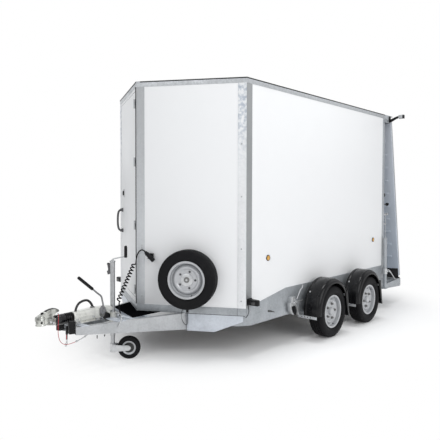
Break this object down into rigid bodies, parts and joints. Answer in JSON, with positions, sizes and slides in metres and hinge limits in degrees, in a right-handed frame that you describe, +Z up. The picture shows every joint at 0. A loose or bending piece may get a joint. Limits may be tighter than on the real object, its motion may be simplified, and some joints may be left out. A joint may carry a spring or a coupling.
{
  "type": "enclosed cargo trailer",
  "caption": "Enclosed box trailer with a pointed nose, twin axles, side mudguards, A-frame drawbar with jockey wheel, front side door, rear shutter and loading ramp.",
  "frame": {"origin": "on the ground under the middle of the whole trailer", "axes": "+X towards the coupling, +Y to the trailer's left, +Z up"},
  "size_m": [5.398, 2.47, 2.71],
  "materials": {
    "galvanised_steel": "dull grey zinc with a faint spangle",
    "white_panel": "smooth white plastic skin on plywood",
    "floor_board": "dark resin-faced plywood, matt",
    "tread_plate": "bright patterned aluminium",
    "shutter_slat": "pale satin slats",
    "tyre_rubber": "matt black with moulded tread",
    "wheel_silver": "silver paint",
    "guard_black": "matt black moulding",
    "black_paint": "satin black",
    "zinc_steel": "bright zinc plate",
    "dark_cast": "dark cast metal",
    "bellows_rubber": "soft black rubber",
    "grip_black": "black grip plastic",
    "lamp_plastic": "clear, amber and red lenses on black bases",
    "reflector_amber": "amber",
    "cord_black": "black sheath",
    "cable_red": "red sheath on wire"
  },
  "bodies": {
    "trailer": {"sole_plates": "galvanised_steel", "floor": "floor_board", "side_panels": "white_panel", "nose_panel_left": "white_panel", "door_surround": "white_panel", "posts": "galvanised_steel", "roof": "white_panel", "roof_rails": "galvanised_steel", "rear_frame": "galvanised_steel", "rear_shutter": "shutter_slat", "rear_hood": "galvanised_steel", "rear_deck": "galvanised_steel", "side_beams": "galvanised_steel", "cross_members": "galvanised_steel", "axles": "galvanised_steel", "mudguards": "guard_black", "guard_stays": "galvanised_steel", "drawbar_beams": "galvanised_steel", "drawbar_braces": "galvanised_steel", "beam_end_blocks": "grip_black", "front_step": "black_paint", "coupling_head": "dark_cast", "gaiter": "bellows_rubber", "overrun_housing": "zinc_steel", "handbrake_lever": "zinc_steel", "grab_handle": "black_paint", "jockey_clamp": "zinc_steel", "jockey_tube": "zinc_steel", "stand_clamps": "galvanised_steel", "fixed_hinges": "zinc_steel", "spare_tyre": "tyre_rubber", "spare_rim": "wheel_silver", "spare_carrier": "galvanised_steel", "marker_lamps": "lamp_plastic", "tail_lamps": "lamp_plastic", "side_reflectors": "reflector_amber", "lead_lower": "cord_black", "lead_coil": "cord_black", "lead_upper": "cord_black", "lead_plug": "grip_black", "plug_park": "grip_black", "breakaway_cable": "cable_red", "cable_hanger": "zinc_steel"},
    "wheel_front_left": {"tyre_front_left": "tyre_rubber", "rim_front_left": "wheel_silver"},
    "wheel_front_right": {"tyre_front_right": "tyre_rubber", "rim_front_right": "wheel_silver"},
    "wheel_rear_left": {"tyre_rear_left": "tyre_rubber", "rim_rear_left": "wheel_silver"},
    "wheel_rear_right": {"tyre_rear_right": "tyre_rubber", "rim_rear_right": "wheel_silver"},
    "ramp": {"ramp_frame": "galvanised_steel", "ramp_tread": "tread_plate"},
    "door": {"front_door": "white_panel", "door_fittings": "zinc_steel"},
    "jockey_lift": {"jockey_inner_tube": "zinc_steel"},
    "jockey_swivel": {"jockey_fork": "zinc_steel"},
    "jockey_wheel": {"jockey_wheel": "tyre_rubber"},
    "stand_left": {"stand_left": "galvanised_steel"},
    "stand_right": {"stand_right": "galvanised_steel"}
  },
  "joints": [
    {"name": "spin_front_left", "type": "hinge", "parent": "trailer", "child": "wheel_front_left", "pos_m": [-0.213, 1.13, 0.2875], "axis": [0, 1, 0], "continuous": true},
    {"name": "spin_front_right", "type": "hinge", "parent": "trailer", "child": "wheel_front_right", "pos_m": [-0.213, -1.13, 0.2875], "axis": [0, 1, 0], "continuous": true},
    {"name": "spin_rear_left", "type": "hinge", "parent": "trailer", "child": "wheel_rear_left", "pos_m": [-1.107, 1.13, 0.2875], "axis": [0, 1, 0], "continuous": true},
    {"name": "spin_rear_right", "type": "hinge", "parent": "trailer", "child": "wheel_rear_right", "pos_m": [-1.107, -1.13, 0.2875], "axis": [0, 1, 0], "continuous": true},
    {"name": "ramp_hinge", "type": "hinge", "parent": "trailer", "child": "ramp", "pos_m": [-2.643, 0, 0.364], "axis": [0, -1, 0], "range_deg": [0, 107]},
    {"name": "door_hinge", "type": "hinge", "parent": "trailer", "child": "door", "pos_m": [1.6044, -0.029, 1.58], "axis": [0, 0, 1], "range_deg": [0, 100]},
    {"name": "jockey_wind", "type": "slide", "parent": "trailer", "child": "jockey_lift", "axis": [0, 0, 1], "range_m": [0, 0.065]},
    {"name": "jockey_turn", "type": "hinge", "parent": "jockey_lift", "child": "jockey_swivel", "pos_m": [1.894, -0.01, 0.1], "axis": [0, 0, 1], "continuous": true},
    {"name": "jockey_spin", "type": "hinge", "parent": "jockey_swivel", "child": "jockey_wheel", "pos_m": [1.784, 0.102, 0.11], "axis": [-0.7134, -0.7007, 0], "continuous": true},
    {"name": "stand_slide_left", "type": "slide", "parent": "trailer", "child": "stand_left", "axis": [0, 0, 1], "range_m": [-0.275, 0]},
    {"name": "stand_slide_right", "type": "slide", "parent": "trailer", "child": "stand_right", "axis": [0, 0, 1], "range_m": [-0.275, 0]}
  ]
}
